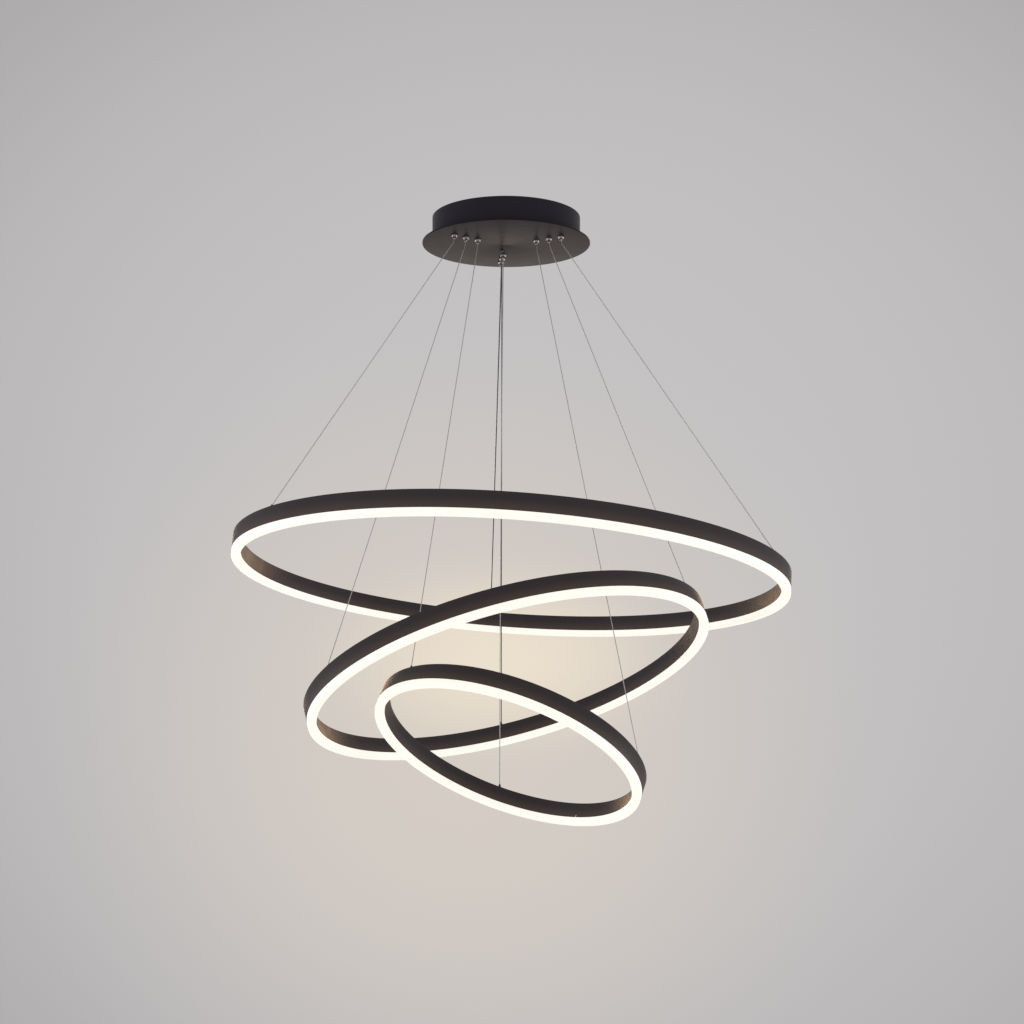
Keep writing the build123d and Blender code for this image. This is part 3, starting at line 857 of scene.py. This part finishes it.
ROOM_RADIUS = 3.4
ROOM_FLOOR = -3.2
ROOM_TOP = 3.6
ROOM_LIGHT = 0.9  # the plain level at which a colour looks as it is written
PALE_CENTRE = (0.127, -0.09)  # across and up on the wall behind the rings
WIDE_GLOW = (-0.136, -0.79)
NEAR_GLOW = (-0.02, -0.53)
NEAR_STRETCH = (0.6, 0.6, 1.1)  # the near glow is wider than high


def reach_from(nodes, links, centre, stretch=(1, 1, 1)):
    """How far a point is from a place on the wall, in metres, each axis times its stretch."""
    across, up = centre
    place = np.array([across, math.sqrt(ROOM_RADIUS**2 - across**2), up]) * stretch
    coordinates = nodes.new("ShaderNodeTexCoord")
    mapping = nodes.new("ShaderNodeMapping")
    mapping.inputs["Scale"].default_value = stretch
    gap = nodes.new("ShaderNodeVectorMath")
    gap.operation = "DISTANCE"
    gap.inputs[1].default_value = place.tolist()
    links.new(coordinates.outputs["Object"], mapping.inputs["Vector"])
    links.new(mapping.outputs["Vector"], gap.inputs[0])
    return gap.outputs["Value"]


def glow_over(nodes, links, under, centre, radius, colour, stretch=(1, 1, 1)):
    """A colour laid over another round a place on the wall, fading smoothly out at that radius."""
    fade = nodes.new("ShaderNodeMapRange")
    fade.interpolation_type = "SMOOTHERSTEP"
    fade.inputs["From Max"].default_value = radius
    fade.inputs["To Min"].default_value = 1.0
    fade.inputs["To Max"].default_value = 0.0
    links.new(reach_from(nodes, links, centre, stretch), fade.inputs["Value"])
    mix = nodes.new("ShaderNodeMix")
    mix.data_type = "RGBA"
    links.new(fade.outputs["Result"], mix.inputs["Factor"])
    links.new(under, mix.inputs["A"])
    mix.inputs["B"].default_value = (*colour, 1)
    return mix.outputs["Result"]


def seen(nodes, links):
    """1 for a ray from the camera, from a gloss or through glass, and 0 for the light on the object."""
    path = nodes.new("ShaderNodeLightPath")
    total = path.outputs["Is Camera Ray"]
    for kind in ("Is Glossy Ray", "Is Transmission Ray"):
        either = nodes.new("ShaderNodeMath")
        either.operation = "MAXIMUM"
        links.new(total, either.inputs[0])
        links.new(path.outputs[kind], either.inputs[1])
        total = either.outputs["Value"]
    return total


def wall_paint():
    """Pale wall that lights the room: grey that darkens away from its middle, with the rings' warm glow on
    it. The light that it gives is even and neutral. Low down it becomes a plain floor that takes a shadow.
    """
    material, nodes, links, shader = finish_named("wall_paint")
    reach = nodes.new("ShaderNodeMapRange")
    reach.inputs["From Max"].default_value = 2.5
    links.new(reach_from(nodes, links, PALE_CENTRE), reach.inputs["Value"])
    ramp = nodes.new("ShaderNodeValToRGB")
    stops = [
        (0.0, (0.553, 0.540, 0.547)),
        (0.4, (0.546, 0.534, 0.540)),
        (0.6, (0.527, 0.515, 0.521)),
        (0.8, (0.489, 0.476, 0.483)),
        (1.0, (0.423, 0.411, 0.417)),
    ]
    elements = ramp.color_ramp.elements
    while len(elements) < len(stops):
        elements.new(0.5)
    for element, (position, colour) in zip(elements, stops):
        element.position = position
        element.color = (*colour, 1)
    links.new(reach.outputs["Result"], ramp.inputs["Fac"])
    colour = glow_over(nodes, links, ramp.outputs["Color"], WIDE_GLOW, 1.75, (0.668, 0.610, 0.555))
    colour = glow_over(nodes, links, colour, NEAR_GLOW, 0.48, (0.83, 0.74, 0.61), NEAR_STRETCH)
    choice = nodes.new("ShaderNodeMix")
    choice.data_type = "RGBA"
    links.new(seen(nodes, links), choice.inputs["Factor"])
    choice.inputs["A"].default_value = (ROOM_LIGHT, ROOM_LIGHT, ROOM_LIGHT, 1)
    links.new(colour, choice.inputs["B"])
    glow = nodes.new("ShaderNodeEmission")
    links.new(choice.outputs["Result"], glow.inputs["Color"])
    height = nodes.new("ShaderNodeSeparateXYZ")
    links.new(nodes.new("ShaderNodeTexCoord").outputs["Object"], height.inputs["Vector"])
    rise = nodes.new("ShaderNodeMapRange")
    rise.interpolation_type = "SMOOTHSTEP"
    rise.inputs["From Min"].default_value = ROOM_FLOOR + 0.05
    rise.inputs["From Max"].default_value = ROOM_FLOOR + 0.9
    links.new(height.outputs["Z"], rise.inputs["Value"])
    shader.inputs["Base Color"].default_value = (0.62, 0.605, 0.61, 1)
    shader.inputs["Roughness"].default_value = 0.8
    shader.inputs["Specular IOR Level"].default_value = 0.1
    meet = nodes.new("ShaderNodeMixShader")
    links.new(rise.outputs["Result"], meet.inputs["Fac"])
    links.new(shader.outputs["BSDF"], meet.inputs[1])
    links.new(glow.outputs["Emission"], meet.inputs[2])
    links.new(meet.outputs["Shader"], nodes["Material Output"].inputs["Surface"])
    return material


def stage_piece(name, grid, finish):
    """A wall or floor from a grid of points in metres."""
    rows, columns = grid.shape[:2]
    mesh = bpy.data.meshes.new(name)
    mesh.from_pydata(grid.reshape(-1, 3).tolist(), [], grid_faces(rows, columns, False, True).tolist())
    mesh.polygons.foreach_set("use_smooth", np.ones(len(mesh.polygons), bool))
    mesh.materials.append(finish)
    made = bpy.data.objects.new(name, mesh)
    bpy.context.scene.collection.objects.link(made)
    return made


def room():
    """A round wall that curves into a flat floor: radius and height along the section, carried round Z."""
    cove = np.linspace(0, math.pi / 2, 13)
    section = [(ROOM_RADIUS, ROOM_TOP), (ROOM_RADIUS, 1.0), (ROOM_RADIUS, 0.0)]
    section += [(ROOM_RADIUS - 1 + math.cos(a), ROOM_FLOOR + 1 - math.sin(a)) for a in cove]
    section += [(1.2, ROOM_FLOOR), (0.001, ROOM_FLOOR)]
    angle = np.linspace(0, TURN, 96, endpoint=False)[None, :]
    r, z = np.array(section)[:, 0, None], np.array(section)[:, 1, None]
    return np.stack([r * np.cos(angle), r * np.sin(angle), z + 0 * angle], -1)


stage_piece("room", room(), wall_paint())


LAMP_SIZE = 0.7
MIDDLE = (0.0, 0.0, -0.45)  # of the whole part
WARM = (1.0, 0.60, 0.30)


def soft_lamp(name, place, power, colour=(1, 1, 1)):
    """A large square lamp that faces the middle of the part."""
    data = bpy.data.lights.new(name, "AREA")
    data.shape = "SQUARE"
    data.size = LAMP_SIZE
    data.energy = power
    data.color = colour
    lamp = bpy.data.objects.new(name, data)
    aim = Vector(MIDDLE) - Vector(place)
    lamp.location = place
    lamp.rotation_euler = aim.to_track_quat("-Z", "Y").to_euler()
    bpy.context.scene.collection.objects.link(lamp)


for side, sign in (("left", -1), ("right", 1)):
    soft_lamp(side, (sign * 2.3, 0.0, -1.5), 14.0)
    soft_lamp(side + "_back", (sign * 1.0, 2.6, -0.4), 9.0, WARM)

world = bpy.data.worlds.new("room_light")
bpy.context.scene.world = world
world.use_nodes = True
background = world.node_tree.nodes["Background"]
background.inputs["Color"].default_value = (0.50, 0.49, 0.495, 1)
background.inputs["Strength"].default_value = 1.0

bpy.context.scene.view_settings.view_transform = "Standard"
